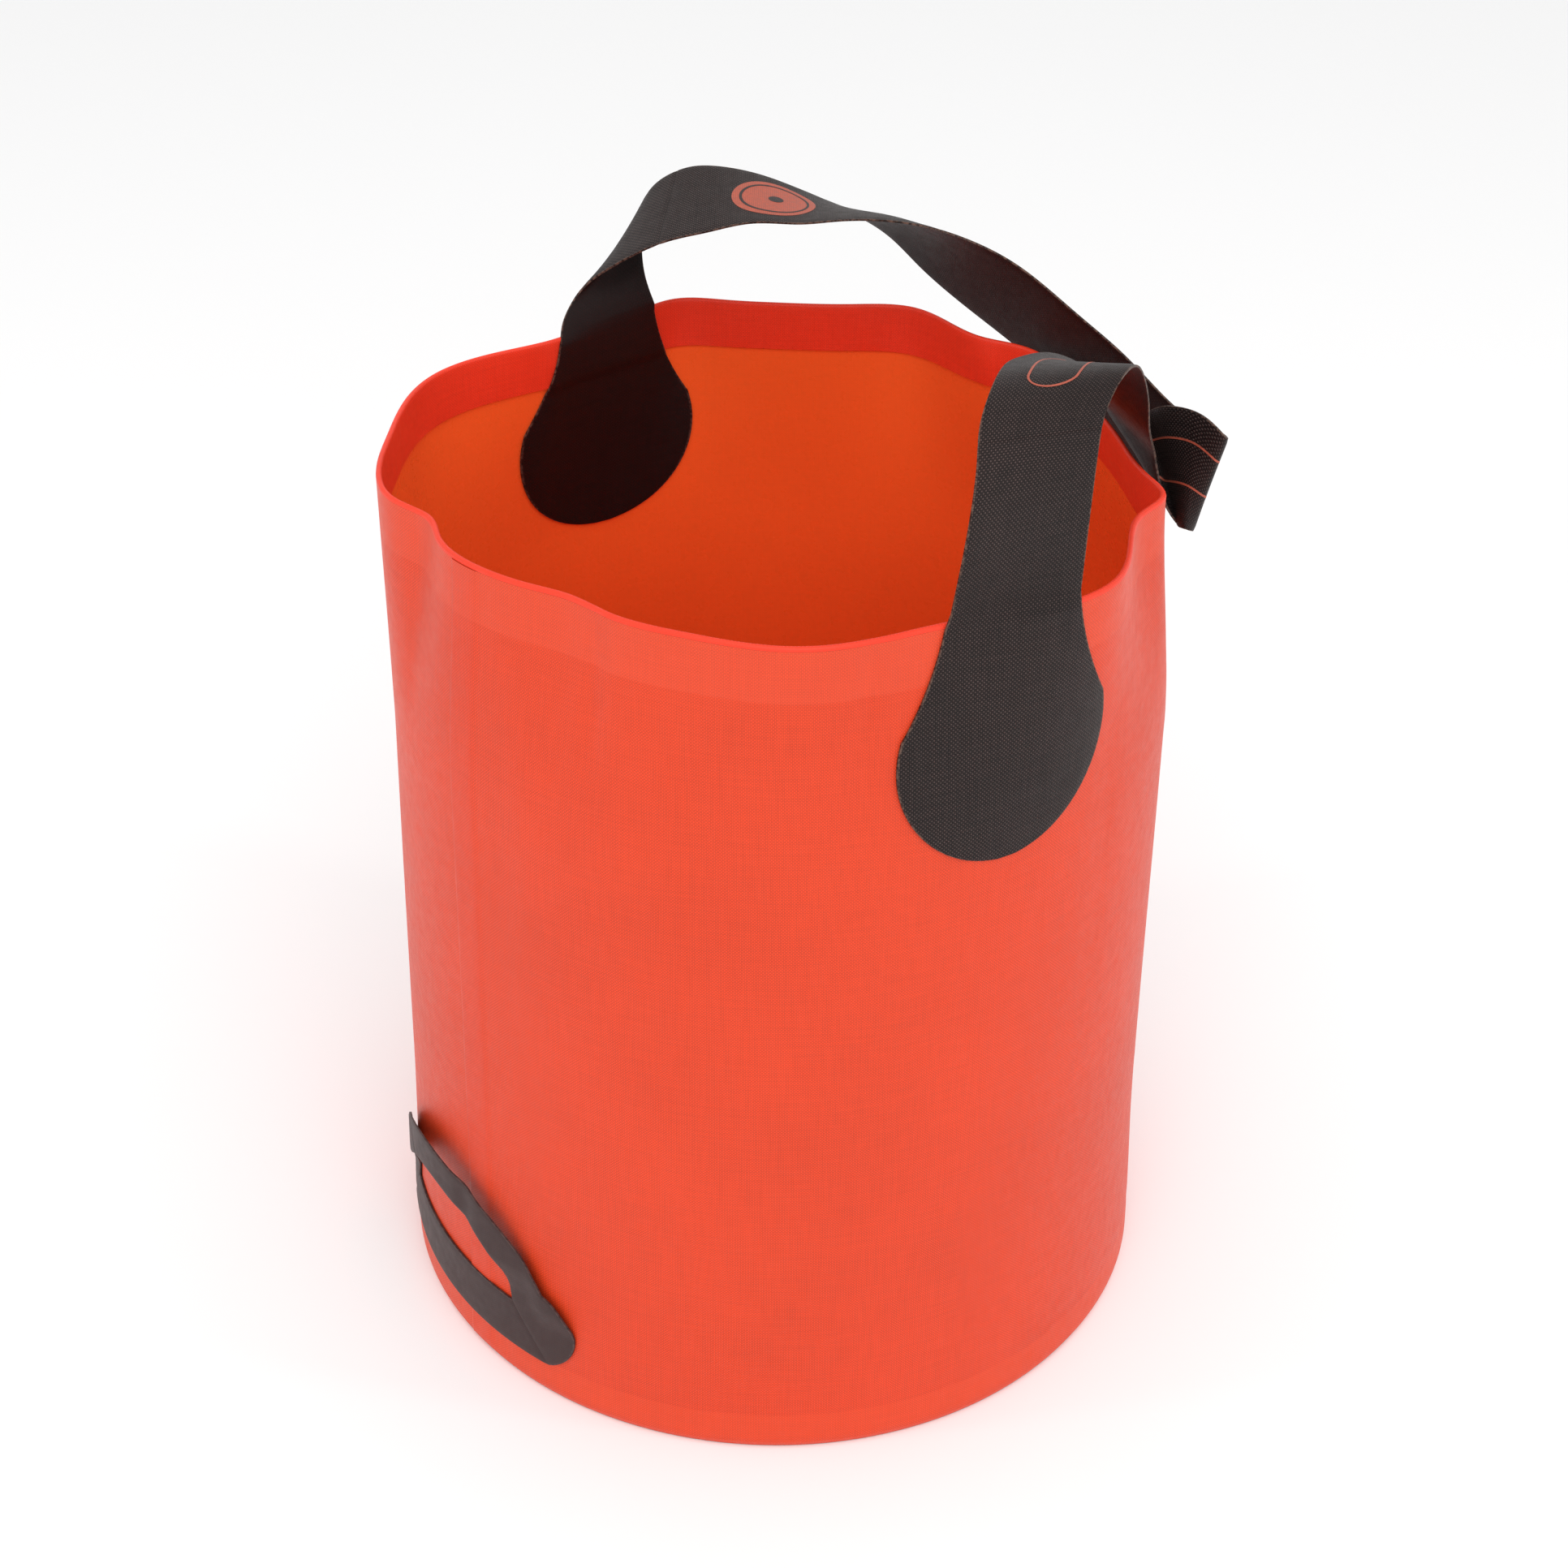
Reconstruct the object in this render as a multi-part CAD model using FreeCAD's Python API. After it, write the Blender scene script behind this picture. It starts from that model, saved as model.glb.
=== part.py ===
import FreeCAD, Part
import math
import os

# Collapsible round bucket of coated fabric: a welded wall and base, a strap handle that lies slack
# over the rim, and a flat tilt handle low on the wall. Millimetres; Z is up, the base stands on
# Z = 0, the strap ends lie on the X axis and the tilt handle faces -Y.

# driving dimensions
height = 260.0
base_radius = 112.5
wall_thickness = 0.8
crumple_low = 62.0        # the wall crumples between these two heights when it is pressed down
crumple_high = 185.0
hem_height = 15.0
hem_thickness = 0.8
base_thickness = 1.0
flange_top = 12.0
strap_thickness = 1.0
strap_neck = 17.5         # half the strap's width
end_radius = 30.5         # the round of each strap end
end_centre_z = 222.0
end_spread_z = 8.5        # the round meets its drawn-in sides this far above its centre
end_spread = 29.3         # and this far from the strap's middle line
end_waist = (21.5, 246.0)  # half width and height where the sides bend into the neck
badge_radius = 12.5
print_thickness = 0.3
body_gap = 0.3            # clear air between pieces that move apart

# outer profile of the wall below its folds, (radius, z)
wall_profile = [(111.3, 0.0), (base_radius, 2.4), (112.2, flange_top), (110.8, 45.0),
                (110.3, crumple_low), (108.8, 150.0), (108.2, crumple_high)]

# the rim in plan: (angle in degrees, radius) at each corner, hollow and flat of its slack folds
rim_folds = [(0, 106), (12, 110), (17, 109.5), (23, 106), (29, 101.5), (38, 99.5), (45.5, 102.5),
             (50, 98.5), (63, 92.5), (77, 92), (91, 96), (104.5, 100.5), (112, 98), (120, 102.5),
             (127.5, 108), (137, 104.5), (150, 103), (158, 106), (166, 110), (172, 106),
             (180, 102), (193, 99.5), (203, 105), (212, 109.5), (222, 109.5), (235, 107.5),
             (250, 108.5), (256, 106.5), (263.5, 100.5), (270, 102.5), (281, 103), (290, 100.5),
             (297, 99), (304, 102), (316, 105), (330, 108.5), (341, 106), (351, 103.5)]

# how far the folds have faded, (height, share of the rim's shape)
fold_levels = [(crumple_high, 0.0), (200.0, 0.08), (215.0, 0.28), (230.0, 0.56),
               (height - hem_height, 0.84), (height, 1.0)]

# the strap's two edges, station by station from the outer end, over the rim, down outside the
# far side, back along it and up, over the mouth and down inside the wall
strap_edges = [
    ((102.6, -17, 260.2), (108.1, 17.5, 260.2)),
    ((106, -16, 282), (108, 18.5, 282)),
    ((104, -12.5, 300), (106, 21, 298)),
    ((97, -7, 308), (102, 26, 306)),
    ((84, 7, 312), (97, 35, 311)),
    ((64, 28, 304), (88, 47, 306)),
    ((52, 46, 297), (79, 58, 292)),
    ((40, 65, 286), (70, 67, 278)),
    ((30, 80, 274), (62, 76, 267)),
    ((23, 90, 262), (58, 81, 259)),
    ((22, 95, 257), (57, 86, 247)),
    ((30, 98, 260), (56, 91, 240)),
    ((41, 95, 267), (58, 91, 239)),
    ((52, 94, 271), (61, 90, 240)),
    ((61.5, 94, 271.5), (61.5, 91, 239.5)),
    ((67.5, 95.5, 268.5), (59.5, 94.5, 237.5)),
    ((61.5, 100.5, 265.5), (51.5, 98.5, 234.5)),
    ((52.5, 104.5, 262.5), (40.5, 105.5, 231.5)),
    ((41.5, 105, 261.5), (27.5, 109, 229.5)),
    ((28, 105, 264), (14, 110, 235)),
    ((14, 102, 271), (-2, 109, 243)),
    ((0, 97, 278), (-18, 105, 250)),
    ((-15, 92, 285), (-35, 100, 257)),
    ((-28, 86, 290), (-51, 94, 264)),
    ((-40, 76, 294), (-66, 88, 272)),
    ((-49, 64, 296), (-76, 81, 281)),
    ((-56, 52, 296), (-86, 70, 288)),
    ((-62, 42, 295), (-92, 60, 293)),
    ((-69, 31, 295), (-99, 50, 297)),
    ((-76, 20, 292), (-106, 39, 299)),
    ((-86, 10, 287), (-112, 31, 297)),
    ((-97, 0, 278), (-116, 23, 290)),
    ((-102, -7, 271), (-113, 19, 279)),
    ((-99.5, -14, 265), (-106, 16, 270)),
    ((-96.8, -17, 260.2), (-103, 18, 260.2)),
]
outer_leg_end = 1.4       # the leg below this station bends when the strap is lifted
inner_leg_start = 31.0
badge_station = 27.5

# tilt handle, a die-cut sheet drawn in the XZ plane and laid on the wall
handle_low = 12.0
handle_half = 45.0        # half length of the straight lower edge
handle_end = 53.0
handle_shoulder = (44.0, 38.5)
handle_top = 65.5
slot_half = 31.5
slot_low = 28.5
slot_side = (29.5, 39.5)  # where the slot's short side meets its arched top
slot_top = 55.0
handle_thickness = 1.0
grip_half = 29.0          # half the length of the free grip
grip_bow = 4.0            # how far the free grip stands off the wall at its middle
grip_seat = 111.6         # radius the grip's ends reach, just off the wall


def save(name, shape):
    shape.exportStep("parts/" + name + ".step")
    print(name, "valid", shape.isValid(), "solids", len(shape.Solids), "volume", round(shape.Volume, 1))


def vec(point):
    return FreeCAD.Vector(*point)


def revolved(profile):
    """Solid of revolution about Z from a closed (radius, z) outline."""
    points = [FreeCAD.Vector(r, 0, z) for r, z in profile]
    face = Part.Face(Part.makePolygon(points + points[:1]))
    return face.revolve(FreeCAD.Vector(0, 0, 0), FreeCAD.Vector(0, 0, 1), 360)


def wall_ring(low, high):
    """Round stretch of the wall between two heights of its profile."""
    outer = [(r, z) for r, z in wall_profile if low <= z <= high]
    inner = [(r - wall_thickness, z) for r, z in outer]
    return revolved(outer + inner[::-1])


def fold_wire(z, share, inset):
    """Closed smooth curve round the folded wall at one height, moved inwards by inset."""
    round_radius = wall_profile[-1][0]
    points = []
    for angle, radius in rim_folds:
        r = round_radius + share * (radius - round_radius) - inset
        a = math.radians(angle)
        points.append(FreeCAD.Vector(r * math.cos(a), r * math.sin(a), z))
    curve = Part.BSplineCurve()
    curve.interpolate(Points=points, PeriodicFlag=True)
    return Part.Wire(curve.toShape())


def fold_core(inset):
    """Everything inside the folded upper wall, moved inwards by inset."""
    wires = [fold_wire(z, share, inset) for z, share in fold_levels]
    return Part.makeLoft(wires, True, False)


def teardrop(direction):
    """Prism along X with a strap end's outline: a round that draws in to the strap's neck."""
    side = [(end_spread, end_centre_z + end_spread_z), end_waist, (strap_neck, height + 1)]
    right = [FreeCAD.Vector(0, y, z) for y, z in side]
    left = [FreeCAD.Vector(0, -y, z) for y, z in side[::-1]]
    edges = []
    for points in (right, left):
        curve = Part.BSplineCurve()
        curve.interpolate(points)
        edges.append(curve.toShape())
    edges.insert(1, Part.LineSegment(right[-1], left[0]).toShape())
    lowest = FreeCAD.Vector(0, 0, end_centre_z - end_radius)
    edges.append(Part.Arc(left[-1], lowest, right[0]).toShape())
    return Part.Face(Part.Wire(edges)).extrude(FreeCAD.Vector(direction * 150, 0, 0))


def strap_normals():
    """Unit normal of the strap's outer face at each station."""
    centres = [(vec(p) + vec(q)) * 0.5 for p, q in strap_edges]
    last = len(centres) - 1
    normals = []
    for i, (p, q) in enumerate(strap_edges):
        along = centres[min(i + 1, last)] - centres[max(i - 1, 0)]
        normals.append(along.cross(vec(p) - vec(q)).normalize())
    return normals


def strap_line(share, offset):
    """Curve along the strap at a share of its half width, a given distance off its mid surface."""
    points = []
    for (p, q), normal in zip(strap_edges, strap_normals()):
        middle = (vec(p) + vec(q)) * 0.5
        points.append(middle + (vec(p) - vec(q)) * 0.5 * share + normal * offset)
    curve = Part.BSplineCurve()
    curve.interpolate(Points=points, Parameters=[float(i) for i in range(len(points))])
    return curve


def ribbon(start, end, share, low, high):
    """Solid stretch of strap between two stations, as wide as share of it, between two offsets."""
    corners = [(share, high), (-share, high), (-share, low), (share, low)]
    lines = [strap_line(*corner) for corner in corners]
    steps = max(1, round((end - start) * 3))
    wires = []
    for i in range(steps + 1):
        station = start + (end - start) * i / steps
        points = [line.value(station) for line in lines]
        wires.append(Part.makePolygon(points + points[:1]))
    return Part.makeLoft(wires, True, True)


def arc_wire(points):
    """Three points to one arc in the XZ plane."""
    return Part.Arc(*[FreeCAD.Vector(x, 0, z) for x, z in points]).toShape()


def line_wire(start, end):
    """Straight edge between two points of the XZ plane."""
    first, last = [FreeCAD.Vector(x, 0, z) for x, z in (start, end)]
    return Part.LineSegment(first, last).toShape()


def prism(edges):
    """Closed XZ outline pulled out along -Y."""
    return Part.Face(Part.Wire(edges)).extrude(FreeCAD.Vector(0, -150, 0))


def handle_outline():
    """The whole tilt handle sheet: straight below, rounded ends, an arched top."""
    sx, sz = handle_shoulder
    end_mid = (handle_end, (handle_low + sz) / 2 + 2)
    return prism([
        line_wire((-handle_half, handle_low), (handle_half, handle_low)),
        arc_wire([(handle_half, handle_low), end_mid, (sx, sz)]),
        arc_wire([(sx, sz), (0, handle_top), (-sx, sz)]),
        arc_wire([(-sx, sz), (-end_mid[0], end_mid[1]), (-handle_half, handle_low)]),
    ])


def handle_slot():
    """The finger slot of the tilt handle: flat below, short steep sides, arched above."""
    sx, sz = slot_side
    return prism([
        line_wire((-slot_half, slot_low), (slot_half, slot_low)),
        line_wire((slot_half, slot_low), (sx, sz)),
        arc_wire([(sx, sz), (0, slot_top), (-sx, sz)]),
        line_wire((-sx, sz), (-slot_half, slot_low)),
    ])


def skin(offset_low, offset_high):
    """Thin shell over the lower wall between two distances off its outer face."""
    outer = [(r, z) for r, z in wall_profile if 2 < z < 100]
    return revolved([(r + offset_high, z) for r, z in outer] + [(r + offset_low, z) for r, z in outer[::-1]])


def free_region(margin):
    """Block round the free grip, between the ends of the finger slot."""
    half = grip_half + margin
    return Part.makeBox(2 * half, 60, 60, FreeCAD.Vector(-half, -150, slot_low + 2))


os.makedirs("parts", exist_ok=True)

# wall in three stretches: a low one on the base, one that crumples, and the folded one at the rim
save("wall_lower", wall_ring(0.0, crumple_low))
save("wall_middle", wall_ring(crumple_low, crumple_high))
wall_upper = fold_core(0.0).cut(fold_core(wall_thickness))
save("wall_upper", wall_upper)

# hem: the fabric's top edge folded in and welded
hem_band = Part.makeBox(300, 300, hem_height, FreeCAD.Vector(-150, -150, height - hem_height))
hem = fold_core(wall_thickness).cut(fold_core(wall_thickness + hem_thickness)).common(hem_band)
save("rim_hem", hem)

# base panel with its flange turned up and welded inside the wall
t = wall_thickness
r0, r1, r2 = [r - t for r, z in wall_profile[:3]]
save("base_panel", revolved([(0, 0), (r0, 0), (r1, 2.4), (r2, flange_top), (r2 - t, flange_top),
                             (r1 - t, 2.7), (r0 - t, base_thickness), (0, base_thickness)]))

# strap ends welded to the wall: one outside at +X, one inside at -X over the hem
outer_skin = fold_core(-strap_thickness).cut(fold_core(0.0))
save("strap_end_outer", outer_skin.common(teardrop(1)))
inner_skin = fold_core(wall_thickness).cut(fold_core(wall_thickness + hem_thickness + strap_thickness))
save("strap_end_inner", inner_skin.common(teardrop(-1)).cut(hem))

# the free strap, and the two short legs that bend when it is lifted
half_thick = strap_thickness / 2
last_station = len(strap_edges) - 1
save("strap_leg_outer", ribbon(0.0, outer_leg_end - 0.02, 1, -half_thick, half_thick))
carry_strap = ribbon(outer_leg_end, inner_leg_start, 1, -half_thick, half_thick)
save("carry_strap", carry_strap)
save("strap_leg_inner", ribbon(inner_leg_start + 0.04, last_station, 1, -half_thick, half_thick))

# round print on the strap's outer face
pad = ribbon(badge_station - 1.6, badge_station + 1.6, 0.9, 0, half_thick + print_thickness)
middle = strap_line(0, 0).value(badge_station)
along = strap_line(0, 0).tangent(badge_station)[0]
across = strap_line(1, 0).value(badge_station) - strap_line(-1, 0).value(badge_station)
facing = along.cross(across).normalize()
badge = pad.common(Part.makeCylinder(badge_radius, 20, middle - facing * 10, facing))
save("strap_badge", badge.cut(carry_strap))

# tilt handle: the welded part on the wall, and the grip that bows away from it
sheet = handle_outline().cut(handle_slot())
save("tilt_handle", sheet.cut(free_region(body_gap)).common(skin(0, handle_thickness)))
chord_y = math.sqrt(grip_seat ** 2 - grip_half ** 2) + body_gap
sagitta = grip_seat + grip_bow - chord_y
bow_radius = (grip_half ** 2 + sagitta ** 2) / (2 * sagitta)
bow_centre = FreeCAD.Vector(0, -(grip_seat + grip_bow - bow_radius), 0)
bowed = Part.makeCylinder(bow_radius + handle_thickness, 100, bow_centre)
bowed = bowed.cut(Part.makeCylinder(bow_radius, 100, bow_centre))
save("tilt_handle_grip", sheet.common(free_region(0)).common(bowed))
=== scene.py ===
import bmesh
import bpy
import numpy as np
from mathutils import Matrix, Vector


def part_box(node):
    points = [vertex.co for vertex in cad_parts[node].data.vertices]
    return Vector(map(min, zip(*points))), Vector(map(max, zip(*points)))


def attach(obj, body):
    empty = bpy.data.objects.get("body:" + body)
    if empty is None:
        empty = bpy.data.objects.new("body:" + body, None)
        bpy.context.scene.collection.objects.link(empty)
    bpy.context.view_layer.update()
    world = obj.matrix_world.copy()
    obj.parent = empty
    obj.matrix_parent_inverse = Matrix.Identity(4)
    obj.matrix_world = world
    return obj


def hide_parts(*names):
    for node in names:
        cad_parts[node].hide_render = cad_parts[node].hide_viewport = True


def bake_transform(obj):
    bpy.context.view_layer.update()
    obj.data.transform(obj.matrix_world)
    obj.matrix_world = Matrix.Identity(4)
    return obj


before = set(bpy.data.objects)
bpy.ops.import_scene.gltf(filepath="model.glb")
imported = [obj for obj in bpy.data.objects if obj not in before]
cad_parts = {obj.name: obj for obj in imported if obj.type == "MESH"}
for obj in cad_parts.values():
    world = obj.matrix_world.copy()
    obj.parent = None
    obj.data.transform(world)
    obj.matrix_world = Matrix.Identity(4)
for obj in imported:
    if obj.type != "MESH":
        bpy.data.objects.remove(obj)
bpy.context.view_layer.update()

# Collapsible bucket of coated fabric with a slack strap and a tilt handle, standing empty.
# Shapes are worked out in millimetres, in the frame's own axes, and put into meshes in metres.
mm = 1000.0


def boxOf(node):  # a CAD node's corners in millimetres
    return [np.array(corner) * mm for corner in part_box(node)]


crumpleLow = boxOf("wall_middle")[0][2]
crumpleHigh = boxOf("wall_middle")[1][2]
rimHeight = boxOf("wall_upper")[1][2]
hemLow = boxOf("rim_hem")[0][2]
footRadius = boxOf("wall_lower")[1][0]
flangeTop = boxOf("base_panel")[1][2]


# curves

def naturalSpline(values):
    # cubic curve through equally spaced values, with no bend at its two ends
    values = np.array(values, float)
    n = len(values)
    system = np.eye(n)
    right = np.zeros(values.shape)
    inner = np.arange(1, n - 1)
    system[inner, inner - 1] = 1
    system[inner, inner] = 4
    system[inner, inner + 1] = 1
    right[1:-1] = 6 * (values[2:] - 2 * values[1:-1] + values[:-2])
    bend = np.linalg.solve(system, right)

    def at(s):
        s = np.asarray(s, float)
        i = np.clip(np.floor(s).astype(int), 0, n - 2)
        t = (s - i)[..., None] if values.ndim > 1 else s - i
        u = 1 - t
        return values[i] * u + values[i + 1] * t + ((u**3 - u) * bend[i] + (t**3 - t) * bend[i + 1]) / 6
    return at


def ringSpline(angles, values):
    # closed cubic curve through values at uneven angles in degrees, smooth where it meets itself
    angles, values = np.array(angles, float), np.array(values, float)
    n = len(angles)
    gap = np.append(np.diff(angles), angles[0] + 360 - angles[-1])
    slope = (np.roll(values, -1) - values) / gap
    i = np.arange(n)
    system = np.zeros((n, n))
    system[i, i - 1] = np.roll(gap, 1)
    system[i, i] = 2 * (gap + np.roll(gap, 1))
    system[i, (i + 1) % n] = gap
    bend = np.linalg.solve(system, 6 * (slope - np.roll(slope, 1)))

    def at(a):
        a = np.mod(np.asarray(a, float) - angles[0], 360) + angles[0]
        k = np.clip(np.searchsorted(angles, a, side="right") - 1, 0, n - 1)
        h, k2 = gap[k], (k + 1) % n
        t = (a - angles[k]) / h
        u = 1 - t
        return values[k] * u + values[k2] * t + h**2 * ((u**3 - u) * bend[k] + (t**3 - t) * bend[k2]) / 6
    return at


def ease(x):  # 0 below 0, 1 above 1, with a smooth turn between
    x = np.clip(x, 0, 1)
    return x * x * (3 - 2 * x)


# the wall's shape

wall = {
    "profileZ": [0, 2.4, 12, 45, crumpleLow, 150, crumpleHigh],
    "profileRadius": [footRadius - 1.2, footRadius, 112.2, 110.8, 110.3, 108.8, 108.2],
    "foldZ": [crumpleHigh, 200, 215, 230, 245, rimHeight],
    "foldShare": [0, 0.08, 0.28, 0.56, 0.84, 1],
    "rim": [(0, 106), (12, 110), (17, 109.5), (23, 106), (29, 101.5), (38, 99.5), (45.5, 102.5),
            (50, 98.5), (63, 92.5), (77, 92), (91, 96), (104.5, 100.5), (112, 98), (120, 102.5),
            (127.5, 108), (137, 104.5), (150, 103), (158, 106), (166, 110), (172, 106),
            (180, 102), (193, 99.5), (203, 105), (212, 109.5), (222, 109.5), (235, 107.5),
            (250, 108.5), (256, 106.5), (263.5, 100.5), (270, 102.5), (281, 103), (290, 100.5),
            (297, 99), (304, 102), (316, 105), (330, 108.5), (341, 106), (351, 103.5)],
    "thickness": 0.8,
    "lapAngle": 276.0,     # where the panel's end is welded over its start
    "lapWidth": 5.2,       # in degrees
    "lapHeight": 0.35,
    "weldDepth": 0.18,
    # soft dents under the rim: angle, half width in degrees, depth, lowest and highest z
    "dents": [(301.8, 1.6, 0.9, 205, 262), (339.5, 1.8, 0.7, 200, 262), (262.0, 2.2, 0.6, 190, 262),
              (47.0, 1.6, 0.5, 200, 262), (110.0, 2.0, 0.6, 195, 262), (192.0, 2.4, 0.6, 190, 262),
              (318.0, 3.5, 0.3, 120, 240), (286.0, 3.0, 0.3, 100, 225), (20.0, 3.0, 0.3, 110, 230)],
    "waves": [(3, 40, 0.35, 90), (5, 200, 0.22, 150), (8, 10, 0.10, 120)],  # count, phase, height, z
}
rimAt = ringSpline(*zip(*wall["rim"]))


def foldShare(z):
    # how far the rim's folds have grown at a height: a monotone curve through the levels
    z = np.asarray(z, float)
    x = np.clip((z - crumpleHigh) / (rimHeight - crumpleHigh), 0, 1)
    levels = (np.array(wall["foldZ"]) - crumpleHigh) / (rimHeight - crumpleHigh)
    fit = np.polyfit(levels, wall["foldShare"], 4)
    return np.clip(np.polyval(fit, x), 0, 1) * ease(x / 0.12)


def wallRadius(angle, z):
    # outer radius at an angle in degrees and a height: the round profile, drawn towards the rim's
    # folded plan by the folds' share, less the dents, plus slow waves that leave foot and rim alone
    base = np.interp(z, wall["profileZ"], wall["profileRadius"])
    radius = base + foldShare(z) * (rimAt(angle) - wall["profileRadius"][-1])
    for a0, wide, depth, low, high in wall["dents"]:
        off = (np.mod(angle - a0 + 180, 360) - 180) / wide
        middle = ease((z - low) / (0.5 * (high - low))) * ease((high - z) / (0.15 * (high - low)))
        radius = radius - depth * np.exp(-off**2) * middle
    for count, phase, tall, z0 in wall["waves"]:
        near = np.exp(-((z - z0) / 70.0) ** 2) * ease((z - 14) / 40)
        radius = radius + tall * np.cos(np.radians(count * angle + phase)) * near
    return radius


def polar(radius, angle, z):
    a = np.radians(angle)
    return np.stack([radius * np.cos(a), radius * np.sin(a), z + 0 * radius], -1)


# meshes

def finishMesh(name, points, faces, cornerUv, materials, faceMaterial=None, across=None, sharp=38):
    # arrays in millimetres become an object at the origin, its doubles merged and faces outward
    mesh = bpy.data.meshes.new(name)
    mesh.from_pydata((points.reshape(-1, 3) / mm).tolist(), [], faces.tolist())
    uv = mesh.uv_layers.new(name="cloth")
    uv.data.foreach_set("uv", (cornerUv.reshape(-1, 2) / mm).astype(np.float32).ravel())
    if across is not None:
        edge = mesh.attributes.new("across", "FLOAT", "POINT")
        edge.data.foreach_set("value", across.astype(np.float32).ravel())
    for material in materials:
        mesh.materials.append(material)
    if faceMaterial is not None:
        mesh.polygons.foreach_set("material_index", faceMaterial.astype(np.int32))
    piece = bpy.data.objects.new(name, mesh)
    bpy.context.scene.collection.objects.link(piece)
    work = bmesh.new()
    work.from_mesh(mesh)
    bmesh.ops.remove_doubles(work, verts=work.verts, dist=2e-6)
    bmesh.ops.dissolve_degenerate(work, edges=work.edges, dist=1e-6)
    bmesh.ops.recalc_face_normals(work, faces=work.faces)
    work.to_mesh(mesh)
    work.free()
    mesh.polygons.foreach_set("use_smooth", np.ones(len(mesh.polygons), bool))
    mesh.set_sharp_from_angle(angle=np.radians(sharp))
    mesh.update()
    return piece


def gridFaces(rows, columns, closeRows, closeColumns, start=0):
    # quads of a grid as vertex numbers, and the same quads as grid places for their UV corners
    rowStarts, columnStarts = np.arange(rows - 1 + closeRows), np.arange(columns - 1 + closeColumns)
    i, j = np.meshgrid(rowStarts, columnStarts, indexing="ij")
    ii = np.stack([i, i + 1, i + 1, i], -1).reshape(-1, 4)
    jj = np.stack([j, j, j + 1, j + 1], -1).reshape(-1, 4)
    return start + (ii % rows) * columns + (jj % columns), ii, jj


def ringPiece(name, angles, section, materials, faceMaterial=None, pole=False, **more):
    # a cross-section carried round the bucket: section(angle column) gives radius and z rows
    radius, z, along = section(angles[:, None])
    points = polar(radius, angles[:, None] + 0 * radius, z + 0 * radius)
    rows, columns = radius.shape
    faces, ii, jj = gridFaces(rows, columns, 1, 0 if pole else 1)
    turn = np.append(angles, angles[0] + 360)[:, None] * np.radians(1) * 110.0
    length = np.append(along, along[0] if not pole else along[-1])[None, :]
    u, v = np.broadcast_arrays(turn, length)
    corner = np.stack([u[ii, jj], v[ii, jj]], -1)
    chosen = None if faceMaterial is None else faceMaterial(jj[:, 0])
    return finishMesh(name, points, faces, corner, materials, chosen, **more)


def surfaceNormal(middle, toward):
    # unit normals of a grid from its own slopes, turned to the side that toward points to
    across = np.gradient(middle, axis=1)
    along = np.gradient(middle, axis=0)
    normal = np.cross(along, across)
    length = np.linalg.norm(normal, axis=-1, keepdims=True)
    normal = np.where(length > 1e-6, normal / np.maximum(length, 1e-6), toward)
    return normal * np.where((normal * toward).sum(-1, keepdims=True) < 0, -1, 1)


def slabPiece(name, middle, normal, thickness, uv, materials, closeRows=0, across=None, edge=0.6,
              faceMaterial=None):
    # a thin closed sheet: the grid moved half its thickness both ways, with a rim that thins a little
    rows, columns = middle.shape[:2]
    half = np.full((rows, columns, 1), thickness / 2)
    half[:, [0, -1]] *= edge
    if not closeRows:
        half[[0, -1]] *= edge
    top, bottom = middle + normal * half, middle - normal * half
    count = rows * columns
    upper, ii, jj = gridFaces(rows, columns, closeRows, 0)
    faces = [upper, upper[:, ::-1] + count]
    corner = [uv[ii, jj], uv[ii, jj][:, ::-1]]
    grid = np.arange(count).reshape(rows, columns)
    wide = np.append(np.arange(rows), 0) if closeRows else np.arange(rows)
    borders = [(wide, wide * 0), (wide, wide * 0 + columns - 1)]
    if not closeRows:
        cols = np.arange(columns)
        borders += [(cols * 0, cols), (cols * 0 + rows - 1, cols)]
    for bi, bj in borders:
        line = grid[bi % rows, bj]
        faces.append(np.stack([line[:-1], line[1:], line[1:] + count, line[:-1] + count], -1))
        place = np.arange(len(bi)) if closeRows else bi
        lineUv = uv[place, bj]
        corner.append(np.stack([lineUv[:-1], lineUv[1:], lineUv[1:], lineUv[:-1]], 1))
    points = np.concatenate([top.reshape(-1, 3), bottom.reshape(-1, 3)])
    bothSides = None if across is None else np.concatenate([across.ravel(), across.ravel()])
    chosen = None
    if faceMaterial:
        chosen = np.concatenate([np.full(len(f), min(k, 2)) for k, f in enumerate(faces)])
        chosen = np.array(faceMaterial)[chosen]
    faces, corner = np.concatenate(faces), np.concatenate(corner)
    return finishMesh(name, points, faces, corner, materials, chosen, bothSides)


# surface effects shared by the materials

def newGroup(name, inputs, outputs):
    tree = bpy.data.node_groups.new(name, "ShaderNodeTree")
    for label, kind, value in inputs:
        socket = tree.interface.new_socket(label, in_out="INPUT", socket_type=kind)
        if value is not None:
            socket.default_value = value
    for label, kind in outputs:
        tree.interface.new_socket(label, in_out="OUTPUT", socket_type=kind)
    return tree, tree.nodes.new("NodeGroupInput"), tree.nodes.new("NodeGroupOutput")


def put(tree, kind, inputs=None, **settings):
    # one node with its settings, and its inputs given as values or as other nodes' outputs
    node = tree.nodes.new(kind)
    for key, value in settings.items():
        setattr(node, key, value)
    for key, value in (inputs or {}).items():
        if isinstance(value, bpy.types.NodeSocket):
            tree.links.new(value, node.inputs[key])
        else:
            node.inputs[key].default_value = value
    return node


def calc(tree, operation, *values):
    node = put(tree, "ShaderNodeMath", dict(enumerate(values)), operation=operation)
    return node.outputs[0]


def spread(tree, value, low, high, toLow, toHigh):
    node = put(tree, "ShaderNodeMapRange", {"Value": value, "From Min": low, "From Max": high,
                                            "To Min": toLow, "To Max": toHigh}, clamp=True)
    return node.outputs["Result"]


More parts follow.
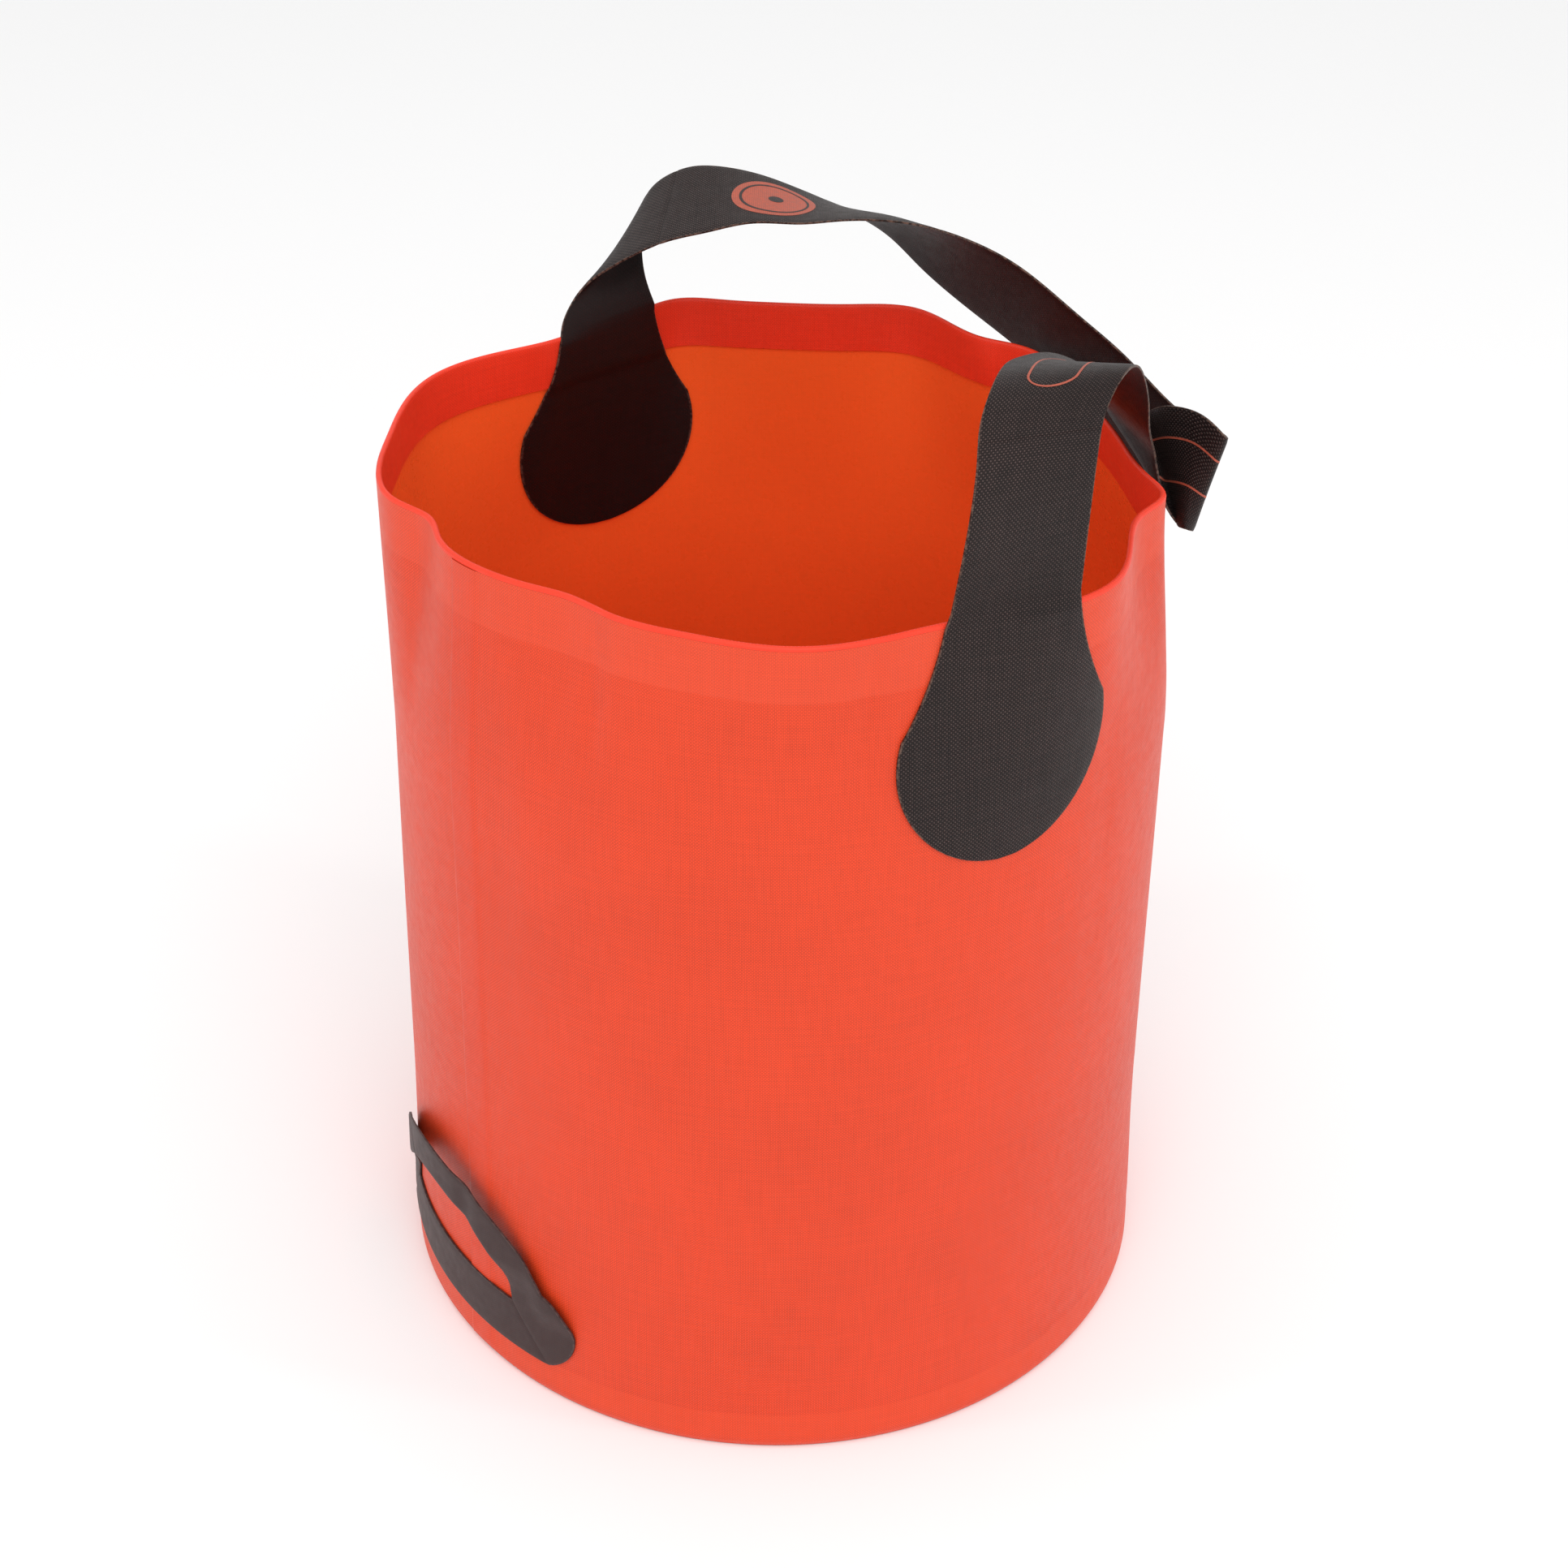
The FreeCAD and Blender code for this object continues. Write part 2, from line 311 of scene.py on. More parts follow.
def mixColour(tree, factor, first, second, how="MIX"):
    node = put(tree, "ShaderNodeMix", data_type="RGBA", blend_type=how)
    for place, value in ((0, factor), (6, first), (7, second)):
        if isinstance(value, bpy.types.NodeSocket):
            tree.links.new(value, node.inputs[place])
        else:
            node.inputs[place].default_value = value
    return node.outputs[2]


def makeThreads():
    # plain weave: the product of two sines makes a chequer of crossings. Where it is positive the
    # warp is on top and where it is negative the weft, and its size is how far the thread stands up
    tree, given, result = newGroup(
        "threads", [("Place", "NodeSocketVector", None), ("Pitch", "NodeSocketFloat", 0.0005)],
        [("Height", "NodeSocketFloat"), ("Floats", "NodeSocketFloat"), ("Slub", "NodeSocketFloat")])
    split = put(tree, "ShaderNodeSeparateXYZ", {0: given.outputs["Place"]})
    waves = []
    for axis in (0, 1):
        halfTurns = calc(tree, "MULTIPLY", split.outputs[axis], np.pi)
        turns = calc(tree, "DIVIDE", halfTurns, given.outputs["Pitch"])
        waves.append(calc(tree, "SINE", turns))
    product = calc(tree, "MULTIPLY", *waves)
    stand = calc(tree, "POWER", calc(tree, "ABSOLUTE", product), 0.6)
    over = calc(tree, "MULTIPLY", product, 0.35)
    tree.links.new(calc(tree, "ADD", stand, over), result.inputs["Height"])
    tree.links.new(spread(tree, product, 0.1, 0.9, 0, 1), result.inputs["Floats"])
    slubs = []
    for stretch in ((1100.0, 70.0, 1.0), (70.0, 1100.0, 1.0)):  # uneven yarn, each way of the cloth
        scaled = {0: given.outputs["Place"], 1: stretch}
        longer = put(tree, "ShaderNodeVectorMath", scaled, operation="MULTIPLY")
        noise = put(tree, "ShaderNodeTexNoise", {"Vector": longer.outputs[0], "Scale": 1.0, "Detail": 1.0})
        slubs.append(calc(tree, "SUBTRACT", noise.outputs[0], 0.5))
    tree.links.new(calc(tree, "ADD", *slubs), result.inputs["Slub"])
    return tree


def makeMottle():
    # two sizes of noise, each centred on nought, for uneven dye, coating and handling
    tree, given, result = newGroup(
        "mottle", [("Place", "NodeSocketVector", None), ("Scale", "NodeSocketFloat", 20.0)],
        [("Shift", "NodeSocketFloat"), ("Fine", "NodeSocketFloat")])
    slow = {"Vector": given.outputs["Place"], "Scale": given.outputs["Scale"], "Detail": 3.0}
    broad = put(tree, "ShaderNodeTexNoise", slow)
    quick = calc(tree, "MULTIPLY", given.outputs["Scale"], 14.0)
    small = {"Vector": given.outputs["Place"], "Scale": quick, "Detail": 2.0}
    fine = put(tree, "ShaderNodeTexNoise", small)
    tree.links.new(calc(tree, "SUBTRACT", broad.outputs[0], 0.5), result.inputs["Shift"])
    tree.links.new(calc(tree, "SUBTRACT", fine.outputs[0], 0.5), result.inputs["Fine"])
    return tree


def makeCutEdge():
    # a narrow band where the piece's "across" value nears 1, broken up by noise like frayed yarn
    tree, given, result = newGroup(
        "cutEdge", [("Across", "NodeSocketFloat", 0.0), ("Place", "NodeSocketVector", None),
                    ("From", "NodeSocketFloat", 0.97)], [("Mask", "NodeSocketFloat")])
    size = calc(tree, "ABSOLUTE", given.outputs["Across"])
    band = calc(tree, "MULTIPLY", calc(tree, "SUBTRACT", size, given.outputs["From"]), 60.0)
    yarnEnds = {"Vector": given.outputs["Place"], "Scale": 900.0, "Detail": 1.0}
    noise = put(tree, "ShaderNodeTexNoise", yarnEnds)
    broken = spread(tree, noise.outputs[0], 0.4, 0.62, 0.1, 1)
    limited = calc(tree, "MAXIMUM", calc(tree, "MINIMUM", band, 1.0), 0.0)
    tree.links.new(calc(tree, "MULTIPLY", limited, broken), result.inputs["Mask"])
    return tree


threads, mottle, cutEdge = makeThreads(), makeMottle(), makeCutEdge()


def placeGroup(tree, group, inputs):
    node = tree.nodes.new("ShaderNodeGroup")
    node.node_tree = group
    for key, value in inputs.items():
        if isinstance(value, bpy.types.NodeSocket):
            tree.links.new(value, node.inputs[key])
        else:
            node.inputs[key].default_value = value
    return node


def clothMaterial(name, look):
    # coated cloth: dye uneven by mottle, thread tops painted lighter as a painted highlight and the gaps
    # between painted darker as painted shade, a painted glint on the floats where given, a bump from
    # threads and fine coating grain, and frayed cut edges where the piece has them
    material = bpy.data.materials.new(name)
    material.use_nodes = True
    tree = material.node_tree
    tree.nodes.clear()
    output = tree.nodes.new("ShaderNodeOutputMaterial")
    shader = tree.nodes.new("ShaderNodeBsdfPrincipled")
    tree.links.new(shader.outputs[0], output.inputs[0])
    cloth = put(tree, "ShaderNodeUVMap", uv_map="cloth").outputs[0]
    solid = put(tree, "ShaderNodeTexCoord").outputs["Object"]
    weave = placeGroup(tree, threads, {"Place": cloth, "Pitch": look["pitch"]})
    patches = placeGroup(tree, mottle, {"Place": solid, "Scale": look.get("patchScale", 22.0)})
    # painted shade and highlight at thread scale: dark is the painted shade in the gaps, light the painted
    # highlight on the thread tops
    dark = [c * (1 - look["contrast"]) for c in look["colour"]] + [1]
    light = [min(1, c * (1 + look["contrast"] * look.get("lift", 1.0))) for c in look["colour"]] + [1]
    colour = mixColour(tree, spread(tree, weave.outputs["Height"], 0.1, 1.1, 0, 1), dark, light)
    # painted glint: where the warp floats, the colour is mixed towards glintColour, a highlight painted
    # into the base colour
    if look.get("glint"):
        paintedGlintMask = calc(tree, "MULTIPLY", weave.outputs["Floats"], look["glint"])
        colour = mixColour(tree, paintedGlintMask, colour, look["glintColour"] + [1])
    yarn = calc(tree, "MULTIPLY", weave.outputs["Slub"], look.get("slub", 0.5))
    uneven = calc(tree, "ADD", patches.outputs["Shift"], yarn)
    tone = spread(tree, uneven, -0.35, 0.35, 1 - look["patches"], 1 + look["patches"])
    tint = put(tree, "ShaderNodeCombineColor", {0: tone, 1: tone, 2: tone}).outputs[0]
    colour = mixColour(tree, 1.0, colour, tint, "MULTIPLY")
    for low, high, soft, factor, shade in look.get("bands", []):  # welds and double layers, by height
        place = put(tree, "ShaderNodeSeparateXYZ", {0: cloth}).outputs[1]
        rise = spread(tree, place, low - soft, low, 0, 1)
        fall = spread(tree, place, high, high + soft, 1, 0)
        inside = calc(tree, "MULTIPLY", calc(tree, "MULTIPLY", rise, fall), factor)
        colour = mixColour(tree, inside, colour, list(shade) + [1])
    if look.get("lap"):
        left, right, factor, shade = look["lap"]
        place = put(tree, "ShaderNodeSeparateXYZ", {0: cloth}).outputs[0]
        inside = calc(tree, "MULTIPLY", spread(tree, place, left - 0.0002, left + 0.0002, 0, 1),
                      spread(tree, place, right - 0.0008, right + 0.0008, factor, 0))
        colour = mixColour(tree, inside, colour, list(shade) + [1])
    if look.get("fray"):
        across = put(tree, "ShaderNodeAttribute", attribute_name="across").outputs["Fac"]
        frayed = placeGroup(tree, cutEdge, {"Across": across, "Place": solid, "From": look["fray"]})
        colour = mixColour(tree, frayed.outputs["Mask"], colour, look["frayColour"] + [1])
    tree.links.new(colour, shader.inputs["Base Color"])
    rough = spread(tree, patches.outputs["Fine"], -0.3, 0.3, look["rough"] - 0.05, look["rough"] + 0.07)
    tree.links.new(rough, shader.inputs["Roughness"])
    grain = calc(tree, "MULTIPLY", patches.outputs["Fine"], look.get("grain", 0.4))
    height = calc(tree, "ADD", weave.outputs["Height"], grain)
    relief = {"Height": height, "Strength": look["relief"], "Distance": look["pitch"] * 0.25}
    bump = put(tree, "ShaderNodeBump", relief)
    tree.links.new(bump.outputs[0], shader.inputs["Normal"])
    for socket, value in look.get("sockets", {}).items():
        shader.inputs[socket].default_value = value
    return material


def inkMaterial(name, look):
    # screen ink on cloth: its colour thinned by fine noise, with the cloth's threads showing in it
    material = bpy.data.materials.new(name)
    material.use_nodes = True
    tree = material.node_tree
    shader = tree.nodes["Principled BSDF"]
    solid = put(tree, "ShaderNodeTexCoord").outputs["Object"]
    cloth = put(tree, "ShaderNodeUVMap", uv_map="cloth").outputs[0]
    weave = placeGroup(tree, threads, {"Place": cloth, "Pitch": look["pitch"]})
    patches = placeGroup(tree, mottle, {"Place": solid, "Scale": 60.0})
    worn = spread(tree, patches.outputs["Fine"], -0.2, 0.25, look["wear"], 0)
    colour = mixColour(tree, worn, look["colour"] + [1], look["under"] + [1])
    gaps = spread(tree, weave.outputs["Height"], 0.0, 0.6, 0.45, 0)
    colour = mixColour(tree, gaps, colour, look["under"] + [1])
    tree.links.new(colour, shader.inputs["Base Color"])
    tree.links.new(spread(tree, patches.outputs["Fine"], -0.3, 0.3, 0.5, 0.65), shader.inputs["Roughness"])
    relief = {"Height": weave.outputs["Height"], "Strength": 0.35, "Distance": look["pitch"] * 0.2}
    bump = put(tree, "ShaderNodeBump", relief)
    tree.links.new(bump.outputs[0], shader.inputs["Normal"])
    return material


metre = 1 / mm
lapStart = wall["lapAngle"] * np.radians(1) * 110.0 * metre
lapEnd = (wall["lapAngle"] + wall["lapWidth"]) * np.radians(1) * 110.0 * metre

redOutside = clothMaterial("coatedRedOutside", {
    "colour": [0.78, 0.057, 0.0135], "contrast": 0.40, "lift": 0.5, "pitch": 0.00045,
    "patches": 0.07, "slub": 0.8, "rough": 0.42, "relief": 0.45, "grain": 0.3,
    "bands": [(hemLow * metre, 1.0, 0.0008, 0.22, (0.80, 0.100, 0.046)),
              (-1.0, flangeTop * metre, 0.001, 0.35, (0.78, 0.072, 0.020))],
    "lap": (lapStart, lapEnd, 0.18, (0.65, 0.041, 0.014)),
    "sockets": {"Specular IOR Level": 0.28}})
orangeInside = clothMaterial("coatedOrangeInside", {
    "colour": [0.96, 0.125, 0.022], "contrast": 0.05, "pitch": 0.00045, "patches": 0.03,
    "rough": 0.28, "relief": 0.06, "grain": 0.2, "sockets": {"Specular IOR Level": 0.35}})
redHem = clothMaterial("matteRedHem", {
    "colour": [0.90, 0.048, 0.017], "contrast": 0.20, "lift": 0.3, "pitch": 0.00045,
    "patches": 0.06, "slub": 0.8,
    "rough": 0.42, "relief": 0.35, "sockets": {"Specular IOR Level": 0.3}})
# the strap's face carries a painted glint on its thread floats and strong painted thread shade and
# highlight
strapFace = clothMaterial("blackStrapWeave", {
    "colour": [0.014, 0.0065, 0.006], "contrast": 0.8, "lift": 1.0, "pitch": 0.00057,
    "patches": 0.30, "slub": 1.0,
    "glint": 0.8, "glintColour": [0.085, 0.058, 0.052], "rough": 0.45, "relief": 1.0, "grain": 0.3,
    "fray": 0.975, "frayColour": [0.13, 0.075, 0.055], "sockets": {"Specular IOR Level": 0.2}})
strapBack = clothMaterial("blackStrapBack", {
    "colour": [0.011, 0.0045, 0.004], "contrast": 0.3, "pitch": 0.00057, "patches": 0.2, "slub": 0.8,
    "rough": 0.5, "relief": 0.4, "fray": 0.975, "frayColour": [0.09, 0.045, 0.035],
    "sockets": {"Specular IOR Level": 0.2}})
handleSheet = clothMaterial("darkHandleSheet", {
    "colour": [0.040, 0.021, 0.020], "contrast": 0.15, "pitch": 0.0004, "patches": 0.14, "slub": 0.4,
    "rough": 0.48, "relief": 0.2, "fray": 0.95, "frayColour": [0.075, 0.045, 0.042],
    "sockets": {"Specular IOR Level": 0.26}})
orangeInk = inkMaterial("orangeInk", {
    "colour": [0.56, 0.105, 0.055], "under": [0.03, 0.02, 0.018], "pitch": 0.00057, "wear": 0.3})
darkInk = inkMaterial("darkInk", {
    "colour": [0.022, 0.012, 0.011], "under": [0.018, 0.012, 0.011], "pitch": 0.00057, "wear": 0.2})
print("materials made")


# the wall panel: outer face up, a flat lip under the hem's fold, inner face down
ringAngles = np.unique(np.concatenate([
    np.arange(0, 360, 1.0), wall["lapAngle"] + np.array([-0.4, -0.15, 0.1, 0.35]),
    wall["lapAngle"] + wall["lapWidth"] + np.array([-0.5, 0.5])]))


def lapRelief(angle, z):
    # the step where the panel's end lies over its start, sharp at its edge and soft at its far side
    rise = ease((angle - wall["lapAngle"] + 0.15) / 0.3)
    fall = ease((wall["lapAngle"] + wall["lapWidth"] + 0.8 - angle) / 1.6)
    return wall["lapHeight"] * rise * fall * ease((z - 1) / 3)


outerZ = np.concatenate([[0, 0.8, 2.4, 4.5, 8], np.arange(12, 185, 5.5), np.arange(186, 256, 2.2),
                         [256, 257.6, 258.8]])
innerZ = np.concatenate([[1.0, 6], np.arange(12, 185, 9.0), np.arange(188, 256, 3.4), [257, 258.6]])[::-1]


def wallSection(angles):
    # radius is the folded wall's, plus the lap outside, or less the cloth's thickness inside
    z = np.concatenate([outerZ, innerZ])[None, :]
    radius = wallRadius(angles, z)
    outside = np.arange(z.size) < len(outerZ)
    # the groove along the base weld's edge
    weld = wall["weldDepth"] * ease((z - (flangeTop - 1.2)) / 0.8) * ease((flangeTop + 0.6 - z) / 0.8)
    radius = radius + np.where(outside, lapRelief(angles, z) - weld, -wall["thickness"])
    return radius, z, np.concatenate([outerZ, innerZ])


bucketWall = ringPiece("bucket_wall", ringAngles, wallSection, [redOutside, orangeInside],
                       lambda column: np.where(column < len(outerZ), 0, 1))
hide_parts("wall_lower", "wall_middle", "wall_upper")
print("wall made")


# the hem: the cloth's top edge folded over inside and welded
hem = {"thickness": 0.8, "lip": 0.9, "ripple": 0.12}


def hemSection(angles):
    # a hook in section: up the inner face, over a round lip, and a short way down the outer side
    lipTurn = np.radians(np.linspace(0, 180, 9))
    deep = wall["thickness"] + hem["thickness"]
    inset = np.concatenate([np.full(9, deep), deep / 2 + deep / 2 * np.cos(lipTurn),
                            [-0.03, wall["thickness"] * 0.5], np.full(9, wall["thickness"] + 0.02)])
    top = rimHeight - hem["lip"]
    rise = np.linspace(hemLow, top, 9, endpoint=False)
    lipFoot = rimHeight - 1.15
    z = np.concatenate([rise, top + hem["lip"] * np.sin(lipTurn), [lipFoot, lipFoot], rise[::-1] + 0.05])
    radius = wallRadius(angles, z[None, :]) - inset[None, :]
    wavy = hem["ripple"] * np.cos(np.radians(angles * 23)) * np.cos(np.radians(angles * 9 + 40))
    free = (inset[None, :] > deep - 0.1) * ease((top - z[None, :]) / 6) * ease((z[None, :] - hemLow) / 2)
    radius = radius - wavy * free
    return radius, z[None, :] + 0 * angles, z


rimHem = ringPiece("rim_hem_fold", ringAngles, hemSection, [redHem])
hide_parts("rim_hem")
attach(rimHem, "bucket_top")
rimPlan = polar(rimAt(np.arange(0, 360.5, 0.5)) - wall["thickness"], np.arange(0, 360.5, 0.5), 0)

# the base: a flat disc with shallow puckers near its weld and a flange turned up inside the wall
base = {"thickness": 1.0, "pucker": 0.35, "puckers": 46, "puckerRadius": 100.0}


def baseSection(angles):
    # from the middle of the underside out, up the flange, down its inner side and back in on top
    foot = [wall["profileRadius"][k] - wall["thickness"] - 0.02 for k in (0, 1, 2)]
    under = np.linspace(0, foot[0], 12)
    flange = [foot[1], foot[2], foot[2] - 0.8, foot[1] - 0.8]
    over = np.concatenate([np.linspace(foot[0] - 0.9, 84, 10), np.linspace(78, 0, 10)])
    radius = np.concatenate([under, flange, over])
    z = np.concatenate([0 * under, [2.4, flangeTop, flangeTop, 2.9], base["thickness"] + 0 * over])
    near = np.exp(-((radius - base["puckerRadius"]) / 6) ** 2) * (z > 0.5) * (z < 2)
    turn = np.radians(angles)
    wave = np.cos(base["puckers"] * turn) * (0.6 + 0.4 * np.cos(5 * turn + 1))
    height = z[None, :] + base["pucker"] * (1 + wave) * near[None, :]
    along = np.concatenate([[0], np.cumsum(np.hypot(np.diff(radius), np.diff(z)))])
    return radius[None, :] + 0 * angles, height, along


basePiece = ringPiece("base_panel_sheet", np.arange(0, 360, 2.0), baseSection, [orangeInside, redOutside],
                      lambda column: np.where(column < 12, 1, 0), pole=True)
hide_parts("base_panel")
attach(basePiece, "bucket_base")
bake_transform(bucketWall)
print("hem and base made")


# the strap: its two edges station by station, as the frame's own strap runs
strap = {
    "edges": [
        ((102.6, -17, 260.2), (108.1, 17.5, 260.2)), ((106, -16, 282), (108, 18.5, 282)),
        ((104, -12.5, 300), (106, 21, 298)), ((97, -7, 308), (102, 26, 306)),
        ((84, 7, 312), (97, 35, 311)), ((64, 28, 304), (88, 47, 306)),
        ((52, 46, 297), (79, 58, 292)), ((40, 65, 286), (70, 67, 278)),
        ((30, 80, 274), (62, 76, 267)), ((23, 90, 262), (58, 81, 259)),
        ((22, 95, 257), (57, 86, 247)), ((30, 98, 260), (56, 91, 240)),
        ((41, 95, 267), (58, 91, 239)), ((52, 94, 271), (61, 90, 240)),
        ((61.5, 94, 271.5), (61.5, 91, 239.5)), ((67.5, 95.5, 268.5), (59.5, 94.5, 237.5)),
        ((61.5, 100.5, 265.5), (51.5, 98.5, 234.5)), ((52.5, 104.5, 262.5), (40.5, 105.5, 231.5)),
        ((41.5, 105, 261.5), (27.5, 109, 229.5)), ((28, 105, 264), (14, 110, 235)),
        ((14, 102, 271), (-2, 109, 243)), ((0, 97, 278), (-18, 105, 250)),
        ((-15, 92, 285), (-35, 100, 257)), ((-28, 86, 290), (-51, 94, 264)),
        ((-40, 76, 294), (-66, 88, 272)), ((-49, 64, 296), (-76, 81, 281)),
        ((-56, 52, 296), (-86, 70, 288)), ((-62, 42, 295), (-92, 60, 293)),
        ((-69, 31, 295), (-99, 50, 297)), ((-76, 20, 292), (-106, 39, 299)),
        ((-86, 10, 287), (-112, 31, 297)), ((-97, 0, 278), (-116, 23, 290)),
        ((-102, -7, 271), (-113, 19, 279)), ((-99.5, -14, 265), (-106, 16, 270)),
        ((-96.8, -17, 260.2), (-103, 18, 260.2))],
    "width": 35.0, "thickness": 0.9, "seat": 0.45,            # seat is the welded ends' middle off the wall
    "outerEnd": 2.5, "innerEnd": 30.0,         # stations where the end pieces meet the middle one
    "roundRadius": 30.5, "roundZ": 222.0,      # the welded ends' round part, then in to the neck
    "spreadZ": 230.5, "spread": 29.3, "waist": (246.0, 21.5), "neck": 17.5,
    "crown": 3.0, "twist": 24.6, "crownSpread": 1.3,   # how the strap rounds where it turns over
    "weaveStart": -70.0,                       # where the weave's own length begins on the outer end
    "columns": 19,
}
strapEdges = np.array(strap["edges"], float)
strapMiddle = naturalSpline(strapEdges.mean(axis=1))
strapHalf = naturalSpline((strapEdges[:, 0] - strapEdges[:, 1]) / 2)
shares = np.linspace(-1, 1, strap["columns"])


def strapSide(stations):
    # which way the strap's printed face looks: along its length crossed with its width
    along = strapMiddle(np.asarray(stations) + 0.01) - strapMiddle(np.asarray(stations) - 0.01)
    side = np.cross(along, strapHalf(stations))
    return side / np.linalg.norm(side, axis=-1, keepdims=True)


def strapSurface(stations, share):
    # across the strap at each station: a straight line by a share of its half width, crowned to a
    # parabola near the twist, where the crown's height along the strap is a bell curve
    share = np.asarray(share, float)
    bell = np.exp(-((stations - strap["twist"]) / strap["crownSpread"]) ** 2)
    crown = strap["crown"] * bell * (1 - share**2)
    straight = strapMiddle(stations) + strapHalf(stations) * share[..., None]
    return straight + strapSide(stations) * crown[..., None]


def strapLengths(stations):
    fine = np.linspace(0, len(strapEdges) - 1, 3401)
    step = np.linalg.norm(np.diff(strapMiddle(fine), axis=0), axis=1)
    return np.interp(stations, fine, np.concatenate([[0], np.cumsum(step)]))


def teardropHalf(z):
    # half width of a welded end at a height: a circle below, then a parabola in to the strap's neck
    low = np.sqrt(np.maximum(0, strap["roundRadius"] ** 2 - (z - strap["roundZ"]) ** 2))
    knots = [strap["spreadZ"], strap["waist"][0], rimHeight + 1]
    high = np.polyval(np.polyfit(knots, [strap["spread"], strap["waist"][1], strap["neck"]], 2), z)
    return np.where(z < strap["spreadZ"], low, high)


def weldedEnd(z, side):
    # grid of a welded end on the wall: each height's line, bent round the wall's own radius
    half = teardropHalf(z)[:, None]
    y = -shares[None, :] * half
    level = z[:, None] + 0 * y
    seat = strap["seat"] + 0 * y
    if side < 0:  # inside, over the hem and then straight on the wall
        overHem = hem["thickness"] * ease((z[:, None] - hemLow + 2.2) / 2.6)
        seat = -(wall["thickness"] + strap["seat"] + overHem + 0 * y)
    angle = np.degrees(np.arcsin(np.clip(y / 108, -1, 1)))
    for _ in range(4):
        turned = angle if side > 0 else 180 - angle
        radius = wallRadius(turned, level) + seat
        angle = np.degrees(np.arcsin(np.clip(y / radius, -1, 1)))
    turned = angle if side > 0 else 180 - angle
    points = polar(wallRadius(turned, level) + seat, turned, level)
    outward = polar(1 + 0 * y, turned, 0 * y)
    return points, outward


def endRows():
    turn = np.radians(np.linspace(1.5, 106.2, 26))
    low = strap["roundZ"] - strap["roundRadius"] * np.cos(turn)
    return np.concatenate([low, np.linspace(low[-1] + 1.5, rimHeight - 1.6, 20)])


def flatEnd(legLength):
    # a welded end cut flat: its outline's box, and the lobe's area plus the leg's
    z = np.linspace(strap["roundZ"] - strap["roundRadius"], rimHeight, 700)
    lobe = (2 * teardropHalf(z)).mean() * (z[-1] - z[0])
    size = (2 * strap["roundRadius"] / mm, (z[-1] - z[0] + legLength) / mm)
    return size, (lobe + strap["width"] * legLength) / mm**2


def strapPiece(name, points, side, start, nodes, flat, area=None):
    # start is the length along the strap at the first row, so the weave runs on between pieces
    normal = surfaceNormal(points, side)
    rows = points.shape[0]
    step = np.linalg.norm(np.diff(points[:, strap["columns"] // 2], axis=0), axis=1)
    along = start + np.concatenate([[0], np.cumsum(step)])
    width = np.linalg.norm(points[:, -1] - points[:, 0], axis=-1)[:, None]
    across = np.broadcast_to(shares, (rows, len(shares))).copy()
    uv = np.stack([across * width / 2, np.broadcast_to(along[:, None], across.shape)], -1)
    piece = slabPiece(name, points, normal, strap["thickness"], uv, [strapFace, strapBack],
                      across=across, faceMaterial=[0, 1, 0])
    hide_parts(*nodes)
    return piece


def sideways(stations):  # the strap's own side at every point of its rows
    return np.broadcast_to(strapSide(stations)[:, None], (len(stations), strap["columns"], 3))


def strapRows(stations):
    return strapSurface(stations[:, None], shares[None, :] + 0 * stations[:, None])


lastStation = len(strapEdges) - 1
rowsUp = endRows()
partings = (strap["outerEnd"], strap["innerEnd"], lastStation)
lengthAt = {station: float(strapLengths(station)) for station in partings}

legOut = np.linspace(0.12, strap["outerEnd"], 36)
endPoints, endSide = weldedEnd(rowsUp, 1)
outerEnd = strapPiece("strap_outer_end", np.concatenate([endPoints, strapRows(legOut)]),
                      np.concatenate([endSide, sideways(legOut)]), strap["weaveStart"],
                      ["strap_end_outer", "strap_leg_outer"], *flatEnd(lengthAt[strap["outerEnd"]]))
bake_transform(outerEnd)

runStations = np.linspace(strap["outerEnd"], strap["innerEnd"], 420)
runLength = lengthAt[strap["innerEnd"]] - lengthAt[strap["outerEnd"]]
strapRun = strapPiece("strap_run", strapRows(runStations), sideways(runStations),
                      lengthAt[strap["outerEnd"]], ["carry_strap"], (strap["width"] / mm, runLength / mm))
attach(strapRun, "strap")

legIn = np.linspace(strap["innerEnd"], lastStation - 0.12, 40)
insidePoints, insideSide = weldedEnd(rowsUp[::-1], -1)
innerEnd = strapPiece("strap_inner_end", np.concatenate([strapRows(legIn), insidePoints]),
                      np.concatenate([sideways(legIn), insideSide]), lengthAt[strap["innerEnd"]],
                      ["strap_end_inner", "strap_leg_inner"],
                      *flatEnd(lengthAt[lastStation] - lengthAt[strap["innerEnd"]]))
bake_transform(innerEnd)
print("strap made, free length", round(lengthAt[lastStation]), "mm")


# prints on the strap's outer face: a plain round badge, and a capsule outline that runs over the arch
prints = {
    "badgeStation": 27.5, "badgeRadius": 12.5, "ringRadius": (9.6, 10.4), "dotRadius": 2.2, "lift": 0.06,
    "capsuleFrom": 3.62, "capsuleTo": 17.6, "capsuleShare": 0.12, "capsuleHalf": 6.0, "lineWidth": 0.55,
}
badgeNear = [strapMiddle(prints["badgeStation"] + step) for step in (-0.5, 0.5)]
stationStep = float(np.linalg.norm(badgeNear[1] - badgeNear[0]))
stationHalf = float(np.linalg.norm(strapHalf(prints["badgeStation"])))


def onStrap(stations, share, lift):
    # points a little off the strap's printed face, with that face's own slope there
    d = 0.02
    along = strapSurface(stations + d, share) - strapSurface(stations - d, share)
    side = np.cross(along, strapHalf(stations))
    side = side / np.linalg.norm(side, axis=-1, keepdims=True)
    return strapSurface(stations, share) + side * lift, side


